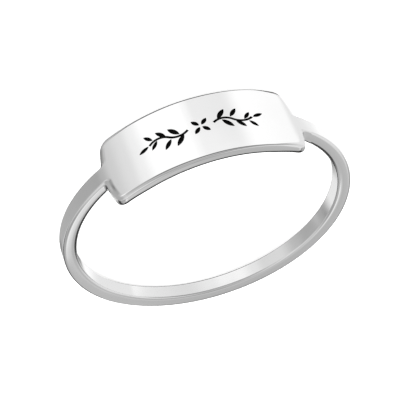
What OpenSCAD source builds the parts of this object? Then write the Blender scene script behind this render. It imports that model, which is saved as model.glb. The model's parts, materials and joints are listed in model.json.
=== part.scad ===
// Name ring: a narrow polished band that widens into a curved name bar,
// lying on its side as it rests by itself. Millimetres, +Z up, Z = 0 is the
// surface that it lies on, and the bar faces -Y.

/* [Finger hole] */
// Diameter of the finger hole
finger_d = 17.3; // [15:0.1:22]

/* [Band] */
// Thickness of the metal at the back, opposite the bar
back_wall = 1.05; // [0.8:0.05:1.4]
// Width of the band where it meets the bar
shoulder_w = 1.2; // [1:0.05:2]
// Width of the band at the back, opposite the bar
back_w = 1.1; // [0.8:0.05:1.6]
// Angle by which the band is out of square to the bar
band_turn = 1.8; // [0:0.1:3]

/* [Name bar] */
// Length of the bar along its middle, straight across from end to end
bar_l = 12; // [10:0.1:13]
// Width of the bar, measured along the finger
bar_w = 4.45; // [3.6:0.05:6]
// Thickness of the metal in the middle of the bar
bar_wall = 0.77; // [0.7:0.01:1]
// Radius to which the bar's ends bow outwards, seen square on
end_r = 6.275; // [5:0.025:20]
// Radius of the bar's four corners, seen square on
corner_r = 0.65; // [0.4:0.05:1]
// Rounding of the long edges of the bar's outer face
edge_r = 0.2; // [0.1:0.02:0.3]
// Fillet in the four corners between the band and the bar's ends
neck_r = 0.2; // [0.1:0.05:0.4]

/* [Engraved sprig] */
// Depth of the engraving
groove_depth = 0.15; // [0.08:0.01:0.25]
// Length of each of the two curves of a branch's stem
bend_l = 1.15; // [0.9:0.05:1.3]
// Rise of each curve above or below the middle line
bend_rise = 0.2; // [0.1:0.02:0.3]
// Width of the stem
stem_w = 0.15; // [0.1:0.01:0.2]
// Length of the longest leaf
leaf_l = 0.85; // [0.6:0.05:0.9]
// Width of the longest leaf
leaf_w = 0.3; // [0.2:0.02:0.36]
// Angle between a leaf and the middle line
leaf_angle = 48; // [30:1:60]
// Number of leaves on each side of a branch
leaf_count = 3; // [2:1:3]

/* [Hidden] */
$fn = 240;

inner_r = finger_d / 2;
// Bar and band share one round outer face, whose centre lies behind the finger hole's
outer_r = inner_r + (bar_wall + back_wall) / 2;
outer_y = (back_wall - bar_wall) / 2;
rear_r = inner_r + back_wall;
front_r = inner_r + bar_wall;

// Centres of the arcs of the bar's end and corners, and where one arc runs into the other
end_x = bar_l / 2 - end_r;
corner_z = bar_w / 2 - corner_r;
corner_x = end_x + sqrt(pow(end_r - corner_r, 2) - corner_z * corner_z);
bow_z = corner_z * end_r / (end_r - corner_r);
// The bar's outer face ends at this depth
bar_end_y = sqrt(outer_r * outer_r - bar_l * bar_l / 4) - outer_y;
// Half the band's width grows by this much for each millimetre towards the bar
taper = (shoulder_w - back_w) / 2 / (bar_end_y + rear_r);
// The band's middle drops by this much for each millimetre along the bar
turn_slope = tan(band_turn);

// The ring rests on the two inner corners of the bar's lower edge, and on the
// lowest point of the band's outer edge behind them. The tilt follows from that.
foot_y = sqrt(inner_r * inner_r - corner_x * corner_x);
foot_drop = (bar_w - back_w) / 2 - taper * (rear_r + foot_y);
foot_reach = foot_y + outer_y;
spare = outer_r * outer_r - foot_reach * foot_reach;
rise = outer_r * sqrt(foot_drop * foot_drop - spare * turn_slope * turn_slope);
tilt = atan((rise - foot_drop * foot_reach) / spare + taper);
lift = bar_w / 2 * cos(tilt) - foot_y * sin(tilt);
// The tilted ring is centred on Y = 0 between its bar and its back
front_y = (front_r - edge_r) * cos(tilt) + (bar_w / 2 - edge_r) * sin(tilt) + edge_r;
rear_y = rear_r * cos(tilt) + back_w / 2 * sin(tilt);
centre_y = (front_y - rear_y) / 2;

// Overlap that keeps joined shapes one solid
lap = 0.05;
// How far the neck fillets sink into the band's sides and the bar's ends
sink = 0.01;
// Clear space round the ring that the cutting shapes reach into
clear = 2;
// Gap between a leaf and the stem, and between the petals and the middle
leaf_gap = 0.05;
petal_l = 0.55;
petal_w = 0.26;
branch_x = 0.78;

// A solid inside the round outer face, with its edges rounded like the bar's
module bar_disc() {
    translate([0, outer_y, 0]) rotate_extrude() {
        translate([0, -bar_w / 2]) square([outer_r - edge_r, bar_w]);
        translate([0, -bar_w / 2 + edge_r]) square([outer_r, bar_w - 2 * edge_r]);
        for (side = [-1, 1])
            translate([outer_r - edge_r, side * (bar_w / 2 - edge_r)])
                intersection() {
                    circle(edge_r, $fn = 48);
                    translate([-edge_r / 2, -edge_r]) square([edge_r * 1.5, edge_r * 2]);
                }
    }
}

// Extrudes an outline drawn square on to the bar from inside the finger hole to beyond the bar
module through_bar(from_y) {
    translate([0, -from_y, 0])
        rotate([90, 0, 0])
            linear_extrude(outer_r + clear - from_y)
                children();
}

// Outline of the bar with its bowed ends and round corners
module bar_outline() {
    square([2 * corner_x, bar_w], center = true);
    intersection() {
        square([bar_l + clear, 2 * bow_z], center = true);
        translate([end_x, 0]) circle(end_r);
        translate([-end_x, 0]) circle(end_r);
    }
    for (x = [-1, 1], y = [-1, 1])
        translate([x * corner_x, y * corner_z])
            circle(corner_r, $fn = 64);
}

// Outline of the fillet in one corner between the band and the bar's end, where half_w is
// the height of the band's side above the bar's middle line
module neck_outline(half_w) {
    z = half_w + neck_r;
    x = end_x + sqrt(pow(end_r + neck_r - sink, 2) - z * z);
    difference() {
        translate([x - neck_r - lap, half_w - lap])
            square(neck_r + lap);
        translate([x, z - sink])
            circle(neck_r, $fn = 48);
    }
}

// The cylinder of the round outer face, or one that lies this deep under it
module outer_cylinder(depth) {
    translate([0, outer_y, 0])
        cylinder(r = outer_r - depth, h = bar_w, center = true);
}

// The bar before the finger hole is cut
module bar_blank() {
    intersection() {
        bar_disc();
        through_bar(inner_r / 3) bar_outline();
    }
}

// The band before the finger hole is cut: its side faces lean together towards the back
module band_blank() {
    front_half = back_w / 2 + taper * (rear_r + front_r + clear);
    rear_half = back_w / 2 - taper * clear;
    intersection() {
        outer_cylinder(0);
        rotate([0, band_turn, 0])
            rotate([90, 0, 90])
                linear_extrude(2 * (outer_r + clear), center = true)
                    polygon([
                        [-front_r - clear, -front_half],
                        [rear_r + clear, -rear_half],
                        [rear_r + clear, rear_half],
                        [-front_r - clear, front_half]
                    ]);
    }
}

// The four neck fillets before the finger hole is cut, which follow the turned band
module neck_blank() {
    shift = (bar_l / 2 + neck_r / 2) * turn_slope;
    intersection() {
        outer_cylinder(0);
        for (x = [0, 1], y = [0, 1])
            through_bar(inner_r / 3)
                mirror([x, 0])
                    mirror([0, y])
                        neck_outline(shoulder_w / 2 + (x == y ? -shift : shift));
    }
}

// A leaf with two pointed ends, from its base at the origin along +X
module leaf(l, w) {
    arc_r = (l * l + w * w) / (4 * w);
    translate([l / 2, 0])
        intersection() {
            translate([0, arc_r - w / 2]) circle(arc_r, $fn = 96);
            translate([0, w / 2 - arc_r]) circle(arc_r, $fn = 96);
        }
}

// One curve of the stem, from the origin to bend_l along +X
module bend() {
    arc_r = bend_l * bend_l / (8 * bend_rise) + bend_rise / 2;
    arc_y = bend_rise - arc_r;
    reach = 1.5;
    translate([bend_l / 2, arc_y])
        intersection() {
            difference() {
                circle(arc_r + stem_w / 2, $fn = 96);
                circle(arc_r - stem_w / 2, $fn = 96);
            }
            polygon([
                [0, 0],
                [bend_l / 2 + sink, -arc_y] * reach,
                [-bend_l / 2 - sink, -arc_y] * reach
            ]);
        }
}

// A branch along +X: a stem of two curves, leaves on both sides, and a leaf at its end
module branch() {
    stem_l = 2 * bend_l;
    pitch = stem_l / leaf_count;
    translate([branch_x, 0]) {
        bend();
        translate([bend_l, 0]) mirror([0, 1]) bend();
        for (i = [0 : leaf_count - 1], side = [1, -1]) {
            x = pitch * (i + 0.4 - 0.15 * side);
            y = bend_rise * sin(180 * x / bend_l);
            size = 1 - 0.12 * i;
            translate([x, y])
                rotate(side * leaf_angle)
                    translate([stem_w / 2 + leaf_gap, 0])
                        leaf(leaf_l * size, leaf_w * size);
        }
        translate([stem_l + leaf_gap, 0])
            rotate(atan(2 * bend_rise / bend_l))
                leaf(leaf_l * 0.8, leaf_w * 0.8);
    }
}

// The whole sprig, drawn square on to the bar: four petals and a branch to each side
module sprig() {
    for (turn = [45, 135, 225, 315])
        rotate(turn) translate([leaf_gap * 2, 0]) leaf(petal_l, petal_w);
    for (turn = [0, 180])
        rotate(turn) branch();
}

// What is cut from the bar's outer face to engrave the sprig
module engraving() {
    difference() {
        through_bar(outer_r - clear) sprig();
        outer_cylinder(groove_depth);
    }
}

// Band and bar in one piece of silver, engraved on the bar
module ring_body() {
    color("silver")
        translate([0, centre_y, lift])
            rotate([-tilt, 0, 0])
                difference() {
                    union() {
                        band_blank();
                        bar_blank();
                        neck_blank();
                    }
                    cylinder(r = inner_r, h = bar_w + clear, center = true);
                    engraving();
                }
}

ring_body();
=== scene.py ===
import json
import math
from collections import namedtuple

import bpy
import numpy as np
from mathutils import Matrix, Vector
from mathutils.geometry import delaunay_2d_cdt


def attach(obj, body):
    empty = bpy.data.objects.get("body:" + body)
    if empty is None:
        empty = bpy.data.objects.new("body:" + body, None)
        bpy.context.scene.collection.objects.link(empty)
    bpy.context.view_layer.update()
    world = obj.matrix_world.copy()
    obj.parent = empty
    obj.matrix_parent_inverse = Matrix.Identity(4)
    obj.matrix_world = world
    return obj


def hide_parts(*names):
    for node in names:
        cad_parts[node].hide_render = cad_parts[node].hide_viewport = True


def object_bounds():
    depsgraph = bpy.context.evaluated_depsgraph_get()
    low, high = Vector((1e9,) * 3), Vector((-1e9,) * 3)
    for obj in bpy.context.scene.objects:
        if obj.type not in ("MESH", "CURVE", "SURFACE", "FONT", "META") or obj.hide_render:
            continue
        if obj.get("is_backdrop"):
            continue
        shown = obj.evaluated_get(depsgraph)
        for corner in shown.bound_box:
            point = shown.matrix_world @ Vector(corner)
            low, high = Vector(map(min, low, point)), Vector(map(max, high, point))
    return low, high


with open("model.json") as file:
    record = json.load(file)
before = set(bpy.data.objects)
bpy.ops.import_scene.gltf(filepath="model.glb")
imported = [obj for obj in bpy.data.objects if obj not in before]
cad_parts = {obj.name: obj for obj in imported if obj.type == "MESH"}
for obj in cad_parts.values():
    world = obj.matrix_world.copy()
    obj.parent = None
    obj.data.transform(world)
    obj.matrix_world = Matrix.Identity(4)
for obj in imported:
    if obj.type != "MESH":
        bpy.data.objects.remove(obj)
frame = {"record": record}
cad_low, cad_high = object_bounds()

# A polished silver ring whose band widens into a curved bar with an engraved sprig.
# The ring is built in its own frame, in millimetres: Z runs along the finger hole
# and the bar faces -Y. The frame's mount then says how it lies on the floor.
MM = 0.001
HOLE = frame["record"]["mounts"][0]

# Thickness of the metal in the middle of the bar and at the back. Bar and band share
# one round outer face, whose centre lies behind the finger hole's.
INNER_R = HOLE["dims"]["r_mm"]
BAR_WALL = 0.77
BACK_WALL = 1.05
OUTER_R = INNER_R + (BAR_WALL + BACK_WALL) / 2
OUTER_Y = (BACK_WALL - BAR_WALL) / 2
REAR_R = INNER_R + BACK_WALL

# Width of the band at the bar and at the back, and how far it is out of square to the bar
SHOULDER_W = 1.2
BACK_W = 1.1
BAND_TURN = math.radians(1.8)

# Length and width of the bar, and radii of its bowed ends, its corners, and the fillets
# between its ends and the band
BAR_L = 12.0
BAR_W = 4.45
END_R = 6.275
CORNER_R = 0.65
NECK_R = 0.2

# Rounding of the polished edges. For the outer and the inner edge: how far it reaches in
# from the outline in millimetres, and how deep it goes as a share of the metal's thickness.
Edge = namedtuple("Edge", "inset drop inner_inset inner_rise")
BAR_EDGE = Edge(0.2, 0.25, 0.2, 0.48)
BAND_EDGE = Edge(0.14, 0.24, 0.16, 0.42)
# The bar's edges soften towards both ends, between these distances from its middle
END_EDGE = Edge(0.35, 0.2, 0.45, 0.6)
SOFT_FROM_X = 3.6
SOFT_TO_X = 5.6
# They are crisper towards the -X end, and change over this distance on both sides of the middle
CRISP_BAR_EDGE = Edge(0.09, 0.12, 0.2, 0.42)
CRISP_X = 4.0
# The upper side of the band beside that end is crisper too, and changes between these angles
CRISP_BAND_EDGE = Edge(0.06, 0.08, 0.1, 0.2)
CRISP_FROM = math.radians(20)
CRISP_TO = math.radians(65)
# So is the band's back, which starts between these angles, and the inner edge of the band's
# underside
BACK_EDGE = Edge(0.07, 0.08, 0.12, 0.2)
BACK_FROM = math.radians(75)
BACK_TO = math.radians(140)
UNDER_RISE = 0.2
# How much the side faces are crowned
CROWN = 0.015

# Engraved sprig: a stem of two curves, and pairs of leaves that stand in steps along it
GROOVE_DEPTH = 0.13
BRANCH_X = 0.78
BEND_L = 1.15
BEND_RISE = 0.2
STEM_W = 0.15
LEAF_L = 0.85
LEAF_W = 0.3
LEAF_ANGLE = math.radians(48)
LEAF_COUNT = 3
LEAF_GAP = 0.05
# Where a pair stands in its step, how far its leaves are staggered, and how much smaller
# each pair is than the one before
PAIR_PLACE = 0.4
PAIR_STAGGER = 0.15
PAIR_SHRINK = 0.12
END_LEAF_SIZE = 0.8
PETAL_L = 0.55
PETAL_W = 0.26
PETAL_ANGLES = (45, 135, 225, 315)

# Fineness of the mesh
COLUMN_W = 0.1
EDGE_STEPS = 8
SIDE_STEPS = 6
ARC_STEPS = 16
END_STEPS = 6
LEAF_STEPS = 20
BAND_STEP = math.radians(0.9)
# Points are welded where they agree to this many decimals of a millimetre
WELD_DECIMALS = 5
# A length that counts as none
TINY = 1e-6

# The band's own sections start here, just outside the bar's corners. The first one is square
# to the bar's length, and within this angle they swing round to follow the band.
BAND_START_X = 6.5
SWING = math.radians(50)

# Noise textures: patches in a millimetre, detail, and stretch along X, Y and Z
Noise = namedtuple("Noise", "scale detail stretch", defaults=(3.0, (1, 1, 1)))
TONE_NOISE = Noise(0.7)
HAZE_NOISE = Noise(1.2)
WAVE_NOISE = Noise(0.35, 1.0)
SCRATCH_NOISE = Noise(6.0, 4.0, (0.15, 0.15, 1.0))
BLACK_NOISE = Noise(5.0)
GRAIN_NOISE = Noise(12.0)
# Silver: grey levels, lowest and highest roughness, and what wear adds to the roughness
SILVER_TONES = (0.95, 0.975)
HAZE = (0.03, 0.09)
WORN_ROUGHNESS = 0.04
# Black of the engraving: grey levels, roughness and gloss
BLACK_TONES = (0.002, 0.008)
BLACK_ROUGHNESS = 0.7
BLACK_SPECULAR = 0.02
# Heights of the polishing waves, the hairline scratches and the black's grain, in millimetres
WAVE_HEIGHT = 0.012
SCRATCH_HEIGHT = 0.0006
GRAIN_HEIGHT = 0.01

# Camera: its place round the ring, the turn of the picture about the line of sight, and how
# far it is moved right and up in the picture
CAMERA_AZIMUTH = math.radians(9.74)
CAMERA_ELEVATION = math.radians(32.6)
CAMERA_ROLL = math.radians(158.04)
CAMERA_DISTANCE = 66.43
CAMERA_RIGHT = 0.022
CAMERA_UP = 0.572
LENS = 89.42
SENSOR_W = 36
CLIP_START = 0.005
CLIP_END = 10

# The floor is a light table: most of its brightness comes through it from below
FLOOR_HALF_W = 1.0
FLOOR_GREY = 0.5
FLOOR_GLOW = 0.75
FLOOR_ROUGHNESS = 0.9

# Round lights that face the ring: diameter in metres, power in watts, and place
LIGHTS = {
    "overhead": (0.3, 1.4, (0.0, 0.0, 0.3)),
    "side": (0.25, 0.5, (0.2, -0.2, 0.2)),
}


def ring_matrix():
    """From the ring's own frame in millimetres to the row frame in metres."""
    z_axis = Vector(HOLE["axis"]).normalized()
    x_axis = Vector((1, 0, 0))
    y_axis = z_axis.cross(x_axis)
    turn = Matrix((x_axis, y_axis, z_axis)).transposed().to_4x4()
    return Matrix.Translation(Vector(HOLE["pos_m"])) @ turn @ Matrix.Scale(MM, 4)


# The ring's outline

# Half the band's width grows by this much for each millimetre towards the bar's end, and its
# middle rises or drops by this much for each millimetre along X
BAR_END_Y = math.sqrt(OUTER_R**2 - BAR_L**2 / 4) - OUTER_Y
TAPER = (SHOULDER_W - BACK_W) / 2 / (BAR_END_Y + REAR_R)
TURN_SLOPE = math.tan(BAND_TURN)

# Centres of the arcs of the bar's end and corners, and the angle where the arcs meet
END_X = BAR_L / 2 - END_R
CORNER_Z = BAR_W / 2 - CORNER_R
CORNER_X = END_X + math.sqrt((END_R - CORNER_R)**2 - CORNER_Z**2)
CORNER_TURN = math.degrees(math.asin(CORNER_Z / (END_R - CORNER_R)))

# A spot on the upper outline, on the +X half: where it is, seen square on to the bar,
# which way the outline faces there, and the rounding of its edges.
# Past the bar's region a spot is an angle round the finger hole, measured from the bar.
# The band's middle rises by the slope for each millimetre along X.
Spot = namedtuple("Spot", "x z mx mz edge angle slope")


def neck(slope):
    """Centre of the fillet between the bar's end and the band, and the angle where they meet."""
    z = SHOULDER_W / 2 + NECK_R + slope * (BAR_L / 2 + NECK_R)
    turn = math.asin(z / (END_R + NECK_R))
    return z, END_X + (END_R + NECK_R) * math.cos(turn), math.degrees(turn)


def start_angle(r, centre_y):
    """Where the band's own sections start, on a cylinder with this radius and centre."""
    return math.atan2(BAND_START_X, math.sqrt(r**2 - BAND_START_X**2) - centre_y)


BAND_START = start_angle(OUTER_R, OUTER_Y)


def eased(value, start, end):
    """Eases from 0 at the start to 1 at the end."""
    t = min(1.0, max(0.0, (value - start) / (end - start)))
    return t * t * (3 - 2 * t)


def blend(first, second, t):
    """The rounding between two others, from the first at 0 to the second at 1."""
    return Edge(*(p + (q - p) * t for p, q in zip(first, second)))


def half_width(y):
    """Half the band's width at this depth: its sides lean together towards the back."""
    return BACK_W / 2 + TAPER * (REAR_R - y)


def arc(x, z, r, start, end, steps):
    """Points and outward directions along an arc."""
    for i in range(steps + 1):
        a = math.radians(start + (end - start) * i / steps)
        yield x + r * math.cos(a), z + r * math.sin(a), math.cos(a), math.sin(a)


def band_edge(angle, x_sign, z_sign):
    """Rounding of the band's edges at this angle from the bar, in one quarter of the ring."""
    crisp = 1 - eased(angle, CRISP_FROM, CRISP_TO) if x_sign < 0 < z_sign else 0
    edge = blend(BAND_EDGE, CRISP_BAND_EDGE, crisp)
    edge = blend(edge, BACK_EDGE, eased(angle, BACK_FROM, BACK_TO))
    return edge if z_sign > 0 else edge._replace(inner_rise=UNDER_RISE)


def bar_edge(x, x_sign):
    """Rounding of the bar's edges at this distance from its middle."""
    edge = blend(BAR_EDGE, CRISP_BAR_EDGE, 0.5 - x_sign * (eased(x, 0, CRISP_X) / 2))
    return blend(edge, END_EDGE, eased(x, SOFT_FROM_X, SOFT_TO_X))


def bar_spots(slope, x_sign, z_sign):
    """Spots along the bar's long edge, round its corner and down its end to the neck."""
    columns = round(CORNER_X / COLUMN_W)
    places = [(CORNER_X * i / columns, BAR_W / 2, 0, 1) for i in range(-1, columns)]
    places.extend(arc(CORNER_X, CORNER_Z, CORNER_R, 90, CORNER_TURN, ARC_STEPS))
    neck_z, neck_x, neck_turn = neck(slope)
    places.extend([*arc(END_X, 0, END_R, CORNER_TURN, neck_turn, END_STEPS)][1:-1])
    for x, z, mx, mz in places:
        yield Spot(x, z, mx, mz, bar_edge(x, x_sign), None, slope)
    fillet = arc(neck_x, neck_z, NECK_R, 180 + neck_turn, 270, ARC_STEPS)
    for i, (x, z, ux, uz) in enumerate(fillet):
        edge = blend(END_EDGE, band_edge(0, x_sign, z_sign), eased(i, 0, ARC_STEPS))
        yield Spot(x, z, -ux, -uz, edge, None, slope)


def band_spots(slope, x_sign, z_sign):
    """Spots along the band's upper edge, from the neck to just past the back."""
    neck_z, neck_x, neck_turn = neck(slope)
    columns = round((BAND_START_X - BAR_L / 2 - NECK_R) / COLUMN_W)
    for i in range(1, columns + 1):
        x = neck_x + (BAND_START_X - neck_x) * i / columns
        yield Spot(x, None, 0, 1, band_edge(0, x_sign, z_sign), None, slope)
    steps = math.ceil((math.pi - BAND_START) / BAND_STEP)
    for i in range(1, steps + 2):
        a = BAND_START + (math.pi - BAND_START) * i / steps
        yield Spot(None, None, 0, 1, band_edge(a, x_sign, z_sign), a, slope)


def place(spot, inset, level):
    """The point that lies this far in from the outline. Level 0 is the outer face, 1 the inner."""
    r = OUTER_R + (INNER_R - OUTER_R) * level
    centre_y = OUTER_Y * (1 - level)
    if spot.angle is None:
        x = spot.x - inset * spot.mx
        y = centre_y - math.sqrt(r**2 - x**2)
        if spot.z is not None:
            return x, y, spot.z - inset * spot.mz
    else:
        fade = 1 - eased(spot.angle - BAND_START, 0, SWING)
        a = spot.angle + (start_angle(r, centre_y) - BAND_START) * fade
        reach = math.sqrt(r**2 - (centre_y * math.sin(a))**2) - centre_y * math.cos(a)
        x, y = reach * math.sin(a), -reach * math.cos(a)
    return x, y, half_width(y) + spot.slope * x - inset


def section(spot):
    """Points from the outer face over the side to the inner face."""
    edge = spot.edge
    side = 1 - edge.drop - edge.inner_rise
    turns = [math.pi / 2 * i / EDGE_STEPS for i in range(EDGE_STEPS + 1)]
    steps = [(edge.drop * (1 - math.cos(a)), edge.inset * (1 - math.sin(a))) for a in turns]
    steps.extend((edge.drop + side * i / SIDE_STEPS, 0) for i in range(1, SIDE_STEPS))
    for a in reversed(turns):
        level = 1 - edge.inner_rise * (1 - math.cos(a))
        steps.append((level, edge.inner_inset * (1 - math.sin(a))))
    return [place(spot, inset + CROWN * (2 * level - 1)**2, level) for level, inset in steps]


# How strongly each point of a section is worn: most in the middle of a rounding
EDGE_WEAR = [math.sin(math.pi * i / EDGE_STEPS) for i in range(EDGE_STEPS + 1)]
WEAR = EDGE_WEAR + [0.0] * (SIDE_STEPS - 1) + EDGE_WEAR


def sections(x_sign, z_sign):
    """Points and normals of all sections of a quarter of the ring, and how many are the bar's.
    The first and the last spot only serve their neighbours' normals."""
    slope = -x_sign * z_sign * TURN_SLOPE
    spots = [*bar_spots(slope, x_sign, z_sign), *band_spots(slope, x_sign, z_sign)]
    points = np.array([section(s) for s in spots])
    along = points[2:, 1:-1] - points[:-2, 1:-1]
    across = points[1:-1, 2:] - points[1:-1, :-2]
    side = np.cross(along, across)
    points = points[1:-1]
    outer = points[:, :1] - (0, OUTER_Y, 0)
    inner = -points[:, -1:]
    outer[..., 2] = inner[..., 2] = 0
    normals = np.concatenate((outer, side, inner), axis=1)
    normals /= np.linalg.norm(normals, axis=2, keepdims=True)
    in_bar = sum(s.angle is None for s in spots[1:-1])
    return [list(zip(p, n)) for p, n in zip(points, normals)], in_bar


def mirrored(rows, x_sign, z_sign):
    """A quarter's section, moved to where that quarter is."""
    flip = np.array((x_sign, 1, z_sign))
    return [(p * flip, n * flip) for p, n in rows]


# The mesh

# Where a section has its point on the outer face and on the inner face
OUTER = 0
INNER = -1

# Material indices
SILVER = 0
BLACK = 1


class RingMesh:
    """Gathers faces with their own normals, and welds the points that they share."""

    def __init__(self):
        self.points = []
        self.index = {}
        self.faces = []
        self.normals = []
        self.materials = []
        self.wear = {}

    def point(self, p):
        """The index of the point at this place. Adding 0.0 makes -0.0 the same key as 0.0."""
        key = tuple(round(float(c), WELD_DECIMALS) + 0.0 for c in p)
        if key not in self.index:
            self.index[key] = len(self.points)
            self.points.append(p)
        return self.index[key]

    def face(self, corners, material=SILVER):
        """Adds a face from (point, normal) pairs and turns it to face along its normals."""
        kept = []
        for p, n in corners:
            i = self.point(p)
            if not kept or (i != kept[-1][0] and i != kept[0][0]):
                kept.append((i, n))
        if len(kept) < 3:
            return
        p = [np.array(self.points[i]) for i, n in kept]
        across = np.cross(p[1] - p[0], p[2] - p[0])
        if len(p) > 3:
            across = across + np.cross(p[2] - p[0], p[3] - p[0])
        if across @ sum(np.array(n) for i, n in kept) < 0:
            kept.reverse()
        self.faces.append([i for i, n in kept])
        self.normals.extend(tuple(float(c) for c in n) for i, n in kept)
        self.materials.append(material)

    def strip(self, first, second):
        """Adds the faces between two rows of corners."""
        for i in range(len(first) - 1):
            self.face([first[i], first[i + 1], second[i + 1], second[i]])

    def build(self, name):
        """Makes the Blender mesh, with the wear of each point."""
        mesh = bpy.data.meshes.new(name)
        mesh.from_pydata([tuple(p) for p in self.points], [], self.faces)
        mesh.polygons.foreach_set("material_index", self.materials)
        mesh.shade_smooth()
        mesh.normals_split_custom_set(self.normals)
        wear = mesh.attributes.new("wear", "FLOAT", "POINT")
        wear.data.foreach_set("value", [self.wear.get(i, 0.0) for i in range(len(self.points))])
        return mesh


def on_face(x, z, face, depth=0.0):
    """A point of the bar's outer or inner face, or one this deep under it, and its normal."""
    r = INNER_R if face == INNER else OUTER_R - depth
    y = -math.sqrt(r**2 - x**2)
    normal = np.array((x, y, 0)) / r
    if face == INNER:
        return np.array((x, y, z)), -normal
    return np.array((x, y + OUTER_Y, z)), normal


def in_polygon(points, polygon):
    """Which of the points lie inside the polygon."""
    inside = np.zeros(len(points), bool)
    for (x0, z0), (x1, z1) in zip(polygon, np.roll(polygon, -1, axis=0)):
        if z0 == z1:
            continue
        cross = (points[:, 1] < z0) != (points[:, 1] < z1)
        x = x0 + (points[:, 1] - z0) * (x1 - x0) / (z1 - z0)
        inside ^= cross & (points[:, 0] < x)
    return inside


def flat_face(upper, lower, shapes):
    """Triangles of the region between an upper and a lower edge, cut along the shapes' outlines.
    Returns the points, the triangles, and whether each triangle lies in a shape."""
    count = len(upper)
    points = list(upper) + list(lower)
    edges = []
    for i in range(count - 1):
        edges.append((i, i + 1))
        edges.append((count + i, count + i + 1))
    # Lines from edge to edge keep the triangles to the round face. Where several points stand
    # over one another, only the one nearest to the bar's middle line has such a line.
    for i in range(count):
        alone = True
        for j in (i - 1, i + 1):
            if 0 <= j < count and abs(upper[j][0] - upper[i][0]) < TINY:
                alone = alone and abs(upper[j][1]) > abs(upper[i][1])
        if alone:
            edges.append((i, count + i))
    for shape in shapes:
        first = len(points)
        points.extend(shape)
        edges.extend((first + i, first + (i + 1) % len(shape)) for i in range(len(shape)))
    result = delaunay_2d_cdt([Vector(p) for p in points], edges, [], 0, TINY, False)
    flat = np.array([tuple(v) for v in result[0]])
    triangles = np.array(result[2])
    middles = flat[triangles].mean(axis=1)
    kept = in_polygon(middles, np.array(list(upper) + list(reversed(lower))))
    cut = np.zeros(len(middles), bool)
    for shape in shapes:
        cut |= in_polygon(middles, np.array(shape))
    return flat, triangles[kept], cut[kept]


def face_edge(quarters, face, z_sign, in_bar):
    """An edge of the bar's outer or inner face, seen square on, from its -X end to its +X end."""
    left, right = (
        [(row[face][0][0], row[face][0][2]) for row in quarters[x_sign, z_sign][:in_bar]]
        for x_sign in (-1, 1)
    )
    return left[:0:-1] + right


def add_bar_face(ring, upper, lower, face, shapes):
    """Adds the part of the outer or inner face that the bar and its necks take up."""
    flat, triangles, cut = flat_face(upper, lower, shapes)
    open_edges = {}
    for triangle, is_cut in zip(triangles, cut):
        depth, material = (GROOVE_DEPTH, BLACK) if is_cut else (0, SILVER)
        ring.face([on_face(*flat[i], face, depth) for i in triangle], material)
        if is_cut:
            for i, j in zip(triangle, np.roll(triangle, -1)):
                key = (min(i, j), max(i, j))
                open_edges[key] = None if key in open_edges else flat[triangle].mean(axis=0)
    for (i, j), middle in open_edges.items():
        if middle is not None:
            add_groove_wall(ring, flat[i], flat[j], middle)


def add_groove_wall(ring, start, end, middle):
    """A wall of the engraving, which faces the middle of the groove's floor beside it."""
    along = end - start
    across = np.array((-along[1], along[0])) / np.linalg.norm(along)
    if across @ (middle - start) < 0:
        across = -across
    n = np.array((across[0], 0, across[1]))
    corners = []
    for (x, z), depth in ((start, 0), (end, 0), (end, GROOVE_DEPTH), (start, GROOVE_DEPTH)):
        corners.append((on_face(x, z, OUTER, depth)[0], n))
    ring.face(corners, BLACK)


# The engraved sprig


def turned(points, angle, x=0.0, z=0.0):
    """Points turned about the origin and then moved."""
    c, s = math.cos(angle), math.sin(angle)
    return [(x + c * u - s * v, z + s * u + c * v) for u, v in points]


def leaf(length, width, start=0.0):
    """A leaf with two pointed ends, from its base along +X."""
    r = (length**2 + width**2) / (4 * width)
    half = math.asin(length / 2 / r)
    side = []
    for i in range(LEAF_STEPS + 1):
        a = -half + 2 * half * i / LEAF_STEPS
        side.append((start + length / 2 + r * math.sin(a), r * math.cos(a) - r + width / 2))
    return side + [(x, -z) for x, z in reversed(side[1:-1])]


def bend(x, flip):
    """One curve of the stem."""
    r = BEND_L**2 / (8 * BEND_RISE) + BEND_RISE / 2
    half = math.asin(BEND_L / 2 / r)
    centre = BEND_RISE - r
    shape = []
    for radius, sign in ((r + STEM_W / 2, 1), (r - STEM_W / 2, -1)):
        for i in range(LEAF_STEPS + 1):
            a = sign * (-half + 2 * half * i / LEAF_STEPS)
            z = flip * (centre + radius * math.cos(a))
            shape.append((x + BEND_L / 2 + radius * math.sin(a), z))
    return shape


def branch():
    """A stem of two curves with leaves on both sides and a leaf at its end."""
    shapes = [bend(0, 1), bend(BEND_L, -1)]
    step = 2 * BEND_L / LEAF_COUNT
    for i in range(LEAF_COUNT):
        for side in (1, -1):
            x = step * (i + PAIR_PLACE - PAIR_STAGGER * side)
            z = BEND_RISE * math.sin(math.pi * x / BEND_L)
            size = 1 - PAIR_SHRINK * i
            shape = leaf(LEAF_L * size, LEAF_W * size, STEM_W / 2 + LEAF_GAP)
            shapes.append(turned(shape, side * LEAF_ANGLE, x, z))
    end_leaf = leaf(LEAF_L * END_LEAF_SIZE, LEAF_W * END_LEAF_SIZE)
    slope = math.atan(2 * BEND_RISE / BEND_L)
    shapes.append(turned(end_leaf, slope, 2 * BEND_L + LEAF_GAP))
    return [[(x + BRANCH_X, z) for x, z in shape] for shape in shapes]


def sprig():
    """Four petals and a branch to each side, seen square on to the bar."""
    petal = leaf(PETAL_L, PETAL_W, 2 * LEAF_GAP)
    shapes = [turned(petal, math.radians(a)) for a in PETAL_ANGLES]
    for turn in (0, math.pi):
        shapes.extend(turned(shape, turn) for shape in branch())
    return shapes


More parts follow.
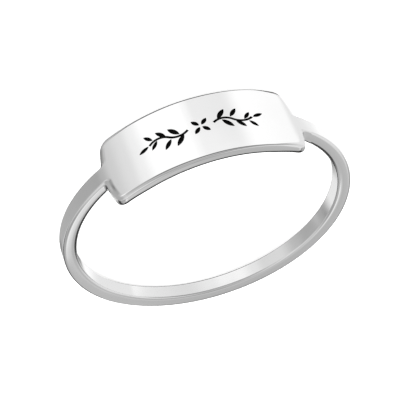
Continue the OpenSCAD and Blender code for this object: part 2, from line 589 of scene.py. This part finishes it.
def make_ring():
    """Band and bar in one piece, with the sprig engraved in the bar."""
    quarters = {}
    for x_sign in (1, -1):
        for z_sign in (1, -1):
            rows, in_bar = sections(x_sign, z_sign)
            quarters[x_sign, z_sign] = [mirrored(row, x_sign, z_sign) for row in rows]
    ring = RingMesh()
    for rows in quarters.values():
        for first, second in zip(rows, rows[1:]):
            ring.strip(first, second)
        for row in rows:
            ring.wear.update((ring.point(p), wear) for (p, n), wear in zip(row, WEAR))
    for face in (OUTER, INNER):
        for x_sign in (1, -1):
            above = [row[face] for row in quarters[x_sign, 1][in_bar - 1:]]
            below = [row[face] for row in quarters[x_sign, -1][in_bar - 1:]]
            ring.strip(above, below)
    for face, shapes in ((OUTER, sprig()), (INNER, [])):
        upper, lower = (face_edge(quarters, face, z_sign, in_bar) for z_sign in (1, -1))
        add_bar_face(ring, upper, lower, face, shapes)
    mesh = ring.build("silver_ring")
    mesh.transform(ring_matrix())
    mesh.materials.append(polished_silver())
    mesh.materials.append(blackened_silver())
    piece = bpy.data.objects.new("silver_ring", mesh)
    bpy.context.scene.collection.objects.link(piece)
    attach(piece, "root")
    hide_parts("ring_body")


# Materials


def new_material(name):
    """A material, its nodes, its links and its shader."""
    material = bpy.data.materials.new(name)
    material.use_nodes = True
    nodes = material.node_tree.nodes
    return material, nodes, material.node_tree.links, nodes["Principled BSDF"]


def grey(level):
    return level, level, level, 1


def math_node(nodes, operation):
    node = nodes.new("ShaderNodeMath")
    node.operation = operation
    return node


def noise(nodes, links, coords, kind):
    """A noise texture in the row frame."""
    mapping = nodes.new("ShaderNodeMapping")
    mapping.inputs["Scale"].default_value = [kind.scale * s / MM for s in kind.stretch]
    links.new(coords, mapping.inputs["Vector"])
    texture = nodes.new("ShaderNodeTexNoise")
    texture.inputs["Scale"].default_value = 1
    texture.inputs["Detail"].default_value = kind.detail
    links.new(mapping.outputs["Vector"], texture.inputs["Vector"])
    return texture.outputs["Fac"]


def mottle(nodes, links, coords, kind, tones):
    """A colour that wanders between two grey levels."""
    tone = nodes.new("ShaderNodeValToRGB")
    for stop, level in zip(tone.color_ramp.elements, tones):
        stop.color = grey(level)
    links.new(noise(nodes, links, coords, kind), tone.inputs["Fac"])
    return tone.outputs["Color"]


def bump(nodes, links, coords, kind, height):
    """A relief of noise that is this high, in millimetres."""
    node = nodes.new("ShaderNodeBump")
    node.inputs["Strength"].default_value = 1
    node.inputs["Distance"].default_value = height * MM
    links.new(noise(nodes, links, coords, kind), node.inputs["Height"])
    return node


def polished_silver():
    """Mirror-polished silver: hand-polished waves, hairline scratches, and duller worn edges."""
    material, nodes, links, shader = new_material("polished_silver")
    shader.inputs["Metallic"].default_value = 1
    coords = nodes.new("ShaderNodeTexCoord").outputs["Object"]
    links.new(mottle(nodes, links, coords, TONE_NOISE, SILVER_TONES), shader.inputs["Base Color"])

    haze = nodes.new("ShaderNodeMapRange")
    haze.inputs["To Min"].default_value, haze.inputs["To Max"].default_value = HAZE
    links.new(noise(nodes, links, coords, HAZE_NOISE), haze.inputs["Value"])
    worn = nodes.new("ShaderNodeAttribute")
    worn.attribute_name = "wear"
    rough = math_node(nodes, "MULTIPLY_ADD")
    rough.inputs[1].default_value = WORN_ROUGHNESS
    links.new(worn.outputs["Fac"], rough.inputs[0])
    links.new(haze.outputs["Result"], rough.inputs[2])
    links.new(rough.outputs[0], shader.inputs["Roughness"])

    waves = bump(nodes, links, coords, WAVE_NOISE, WAVE_HEIGHT)
    scratches = bump(nodes, links, coords, SCRATCH_NOISE, SCRATCH_HEIGHT)
    links.new(waves.outputs["Normal"], scratches.inputs["Normal"])
    links.new(scratches.outputs["Normal"], shader.inputs["Normal"])
    return material


def blackened_silver():
    """The oxidised floor and walls of the engraving."""
    material, nodes, links, shader = new_material("blackened_silver")
    coords = nodes.new("ShaderNodeTexCoord").outputs["Object"]
    links.new(mottle(nodes, links, coords, BLACK_NOISE, BLACK_TONES), shader.inputs["Base Color"])
    shader.inputs["Roughness"].default_value = BLACK_ROUGHNESS
    shader.inputs["Specular IOR Level"].default_value = BLACK_SPECULAR
    grain = bump(nodes, links, coords, GRAIN_NOISE, GRAIN_HEIGHT)
    links.new(grain.outputs["Normal"], shader.inputs["Normal"])
    return material


# Studio

# The studio as the silver shows it: pale walls and floor with a few darker gaps. A list gives
# grey levels by direction round the horizon, in degrees from +Y towards +X.
UNDERSIDE = ((-180, 0.05), (55, 0.08), (75, 0.5), (118, 0.5), (132, 0.05), (180, 0.05))

# Stretches that several lists of the floor share
FLOOR_FRONT = (
    (-180, 1.06), (-176, 0.98), (-171, 0.87), (-148, 0.85), (-134, 1.05), (-101, 1.02),
    (-95, 0.82), (-90, 0.84), (-78, 0.93), (-66, 1.04), (-30, 1.04), (-24, 0.9),
)
FLOOR_SIDE = (
    (-180, 1.06), (-176, 0.98), (-171, 0.87), (-148, 0.85), (-134, 1.05), (-101, 1.0),
    (-95, 0.82), (-78, 0.81), (-24, 0.82),
)
FLOOR_TURN = (
    (-17, 0.6), (6, 0.74), (14, 0.82), (28, 0.83), (42, 0.83), (62, 0.43), (88, 0.4),
    (104, 0.39), (109, 0.46),
)
FLOOR_BACK = ((118, 0.63), (132, 0.76), (141, 0.9), (152, 1.06), (180, 1.06))

# The floor, from its near part to its far end
FLOOR_CLOSE = FLOOR_FRONT + (
    (-17, 0.3), (18, 0.3), (28, 0.4), (65, 0.25), (86, 0.3), (97, 0.52), (107, 0.64),
) + FLOOR_BACK
FLOOR_NEAR = FLOOR_FRONT + (
    (-17, 0.3), (18, 0.3), (28, 0.44), (65, 0.42), (90, 0.39), (97, 0.42), (102, 0.52),
    (108, 0.6),
) + FLOOR_BACK
FLOOR_BEND = FLOOR_FRONT + FLOOR_TURN + FLOOR_BACK
FLOOR_MIDDLE = FLOOR_SIDE + FLOOR_TURN + FLOOR_BACK
FLOOR_STRIP = FLOOR_SIDE + (
    (-17, 0.6), (6, 0.74), (14, 0.82), (28, 0.83), (42, 0.83), (60, 0.3), (68, 0.4),
    (78, 0.55), (88, 0.5), (97, 0.22), (105, 0.22), (112, 0.5),
) + FLOOR_BACK
FLOOR_PALE = (
    (-180, 1.06), (-176, 1.0), (-171, 0.94), (-148, 0.92), (-134, 1.05), (-101, 1.0),
    (-95, 0.82), (-78, 0.81), (-24, 0.82),
) + FLOOR_TURN + FLOOR_BACK
FLOOR_FAR = (
    (-180, 0.95), (-171, 0.86), (-150, 0.74), (-110, 0.82), (-34, 0.82), (-25, 0.05),
    (9, 0.05), (18, 0.75), (50, 0.75), (72, 0.44), (92, 0.42), (106, 0.5), (126, 0.71),
    (141, 0.7), (150, 0.81), (163, 0.95), (180, 0.95),
)
FLOOR_END = (
    (-180, 0.25), (-158, 0.3), (-128, 0.8), (-34, 0.8), (-25, 0.05), (9, 0.05), (18, 0.8),
    (50, 0.8), (75, 0.42), (98, 0.42), (117, 0.95), (136, 0.8), (152, 0.3), (180, 0.25),
)

# The dark gap between the floor and the walls, a window in them, the walls and the ceiling
DARK_GAP = (
    (-180, 0.1), (-155, 0.12), (-122, 0.14), (-104, 0.7), (-60, 0.75), (-42, 0.45),
    (-30, 0.35), (-24, 0.03), (20, 0.03), (42, 0.08), (58, 0.2), (68, 0.4), (100, 0.42),
    (118, 0.6), (130, 0.45), (158, 0.1), (180, 0.1),
)
WINDOW = (
    (-180, 0.3), (-122, 0.3), (-104, 0.75), (-62, 0.7), (-46, 0.4), (-30, 0.25), (-20, 0.04),
    (5, 0.06), (14, 0.4), (30, 0.35), (50, 0.4), (66, 0.6), (90, 0.45), (118, 0.65),
    (132, 0.45), (180, 0.3),
)
LOW_WALLS = (
    (-180, 0.5), (-140, 0.34), (-122, 0.4), (-106, 0.8), (-54, 0.75), (-38, 0.7), (-25, 0.61),
    (-14, 0.47), (-6, 0.46), (0, 0.5), (10, 0.46), (42, 0.4), (65, 0.5), (110, 0.65),
    (140, 0.55), (180, 0.5),
)
HIGH_WALLS = (
    (-180, 0.5), (-140, 0.36), (-122, 0.42), (-106, 0.8), (-70, 0.74), (-54, 0.76),
    (-32, 0.66), (-18, 0.5), (-13, 0.46), (-8, 0.54), (-4, 0.6), (1, 0.72), (6, 0.88),
    (11, 0.78), (16, 0.5), (30, 0.32), (45, 0.34), (65, 0.6), (110, 0.68), (140, 0.5),
    (180, 0.5),
)
CEILING = (
    (-180, 0.45), (-140, 0.36), (-124, 0.4), (-106, 0.72), (-70, 0.7), (-33, 0.5), (-14, 0.34),
    (0, 0.45), (26, 0.57), (60, 0.6), (95, 0.85), (115, 0.65), (130, 0.36), (180, 0.45),
)
SOFTBOX = ((-180, 0.5), (180, 0.5))

# Lowest and highest height of each list in degrees above the horizon. Between two lists the
# levels ease from the one to the other.
STUDIO = (
    (-49, -49, UNDERSIDE),
    (-45, -43, FLOOR_CLOSE),
    (-40, -38, FLOOR_NEAR),
    (-36.5, -36.5, FLOOR_BEND),
    (-34, -34, FLOOR_MIDDLE),
    (-32, -32, FLOOR_STRIP),
    (-30, -30, FLOOR_PALE),
    (-27, -23, FLOOR_FAR),
    (-19, -15, FLOOR_END),
    (-12, 6, DARK_GAP),
    (11, 15, WINDOW),
    (20, 25, LOW_WALLS),
    (29, 37, HIGH_WALLS),
    (50, 72, CEILING),
    (85, 85, SOFTBOX),
)


def grey_by_turn(nodes, links, share, levels):
    """The grey levels of one list, eased from one direction to the next."""
    node = nodes.new("ShaderNodeValToRGB")
    node.color_ramp.interpolation = "EASE"
    stops = node.color_ramp.elements
    while len(stops) < len(levels):
        stops.new(0.5)
    for stop, (angle, level) in zip(stops, levels):
        stop.position = (angle + 180) / 360
        stop.color = grey(level)
    links.new(share.outputs["Result"], node.inputs["Fac"])
    return node.outputs["Color"]


def make_world():
    """Paints the studio in the world, by direction alone."""
    world = bpy.data.worlds.new("studio")
    bpy.context.scene.world = world
    world.use_nodes = True
    nodes, links = world.node_tree.nodes, world.node_tree.links
    coords = nodes.new("ShaderNodeTexCoord")
    parts = nodes.new("ShaderNodeSeparateXYZ")
    links.new(coords.outputs["Generated"], parts.inputs["Vector"])
    turn = math_node(nodes, "ARCTAN2")
    links.new(parts.outputs["X"], turn.inputs[0])
    links.new(parts.outputs["Y"], turn.inputs[1])
    share = nodes.new("ShaderNodeMapRange")
    share.inputs["From Min"].default_value = -math.pi
    share.inputs["From Max"].default_value = math.pi
    links.new(turn.outputs[0], share.inputs["Value"])
    height = math_node(nodes, "ARCSINE")
    links.new(parts.outputs["Z"], height.inputs[0])
    shown = top_below = None
    for bottom, top, levels in STUDIO:
        colour = grey_by_turn(nodes, links, share, levels)
        if shown is not None:
            climb = nodes.new("ShaderNodeMapRange")
            climb.interpolation_type = "SMOOTHSTEP"
            climb.inputs["From Min"].default_value = math.radians(top_below)
            climb.inputs["From Max"].default_value = math.radians(bottom)
            links.new(height.outputs[0], climb.inputs["Value"])
            mix = nodes.new("ShaderNodeMixRGB")
            links.new(climb.outputs["Result"], mix.inputs["Fac"])
            links.new(shown, mix.inputs["Color1"])
            links.new(colour, mix.inputs["Color2"])
            colour = mix.outputs["Color"]
        shown, top_below = colour, top
    links.new(shown, nodes["Background"].inputs["Color"])


def make_floor():
    """The plain floor, which the silver doesn't mirror."""
    w = FLOOR_HALF_W
    mesh = bpy.data.meshes.new("floor")
    mesh.from_pydata([(-w, -w, 0), (w, -w, 0), (w, w, 0), (-w, w, 0)], [], [(0, 1, 2, 3)])
    floor = bpy.data.objects.new("floor", mesh)
    bpy.context.scene.collection.objects.link(floor)
    material, *_, shader = new_material("pale_floor")
    shader.inputs["Base Color"].default_value = grey(FLOOR_GREY)
    shader.inputs["Emission Color"].default_value = grey(1)
    shader.inputs["Emission Strength"].default_value = FLOOR_GLOW
    shader.inputs["Roughness"].default_value = FLOOR_ROUGHNESS
    shader.inputs["Specular IOR Level"].default_value = 0
    mesh.materials.append(material)
    floor.visible_glossy = False
    floor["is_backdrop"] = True


def make_lights():
    """Soft lights, which the silver doesn't mirror."""
    for name, (size, power, spot) in LIGHTS.items():
        data = bpy.data.lights.new(name, "AREA")
        data.shape = "DISK"
        data.size = size
        data.energy = power
        light = bpy.data.objects.new(name, data)
        light.location = spot
        aim = Vector((0, 0, 0)) - Vector(spot)
        light.rotation_euler = aim.to_track_quat("-Z", "Y").to_euler()
        light.visible_glossy = False
        bpy.context.scene.collection.objects.link(light)


def make_camera():
    """Looks at the ring from the picture's side. Its directions are in the ring's own frame."""
    az, el, roll = CAMERA_AZIMUTH, CAMERA_ELEVATION, CAMERA_ROLL
    back = Vector((math.sin(az) * math.cos(el), -math.cos(az) * math.cos(el), math.sin(el)))
    level = Vector((math.cos(az), math.sin(az), 0))
    rise = back.cross(level)
    right = level * math.cos(roll) + rise * math.sin(roll)
    up = back.cross(right)
    to_row = ring_matrix()
    eye = to_row @ (back * CAMERA_DISTANCE + right * CAMERA_RIGHT + up * CAMERA_UP)
    turn = to_row.to_3x3().normalized()
    axes = Matrix((turn @ right, turn @ up, turn @ back)).transposed()
    data = bpy.data.cameras.new("camera")
    data.lens = LENS
    data.sensor_width = SENSOR_W
    data.clip_start = CLIP_START
    data.clip_end = CLIP_END
    camera = bpy.data.objects.new("camera", data)
    camera.matrix_world = Matrix.Translation(eye) @ axes.to_4x4()
    bpy.context.scene.collection.objects.link(camera)
    bpy.context.scene.camera = camera


make_ring()
make_floor()
make_world()
make_lights()
make_camera()
bpy.context.scene.view_settings.view_transform = "Standard"

boxes = {"cad": (cad_low, cad_high), "visual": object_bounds()}
{name: [list(low), list(high)] for name, (low, high) in boxes.items()}
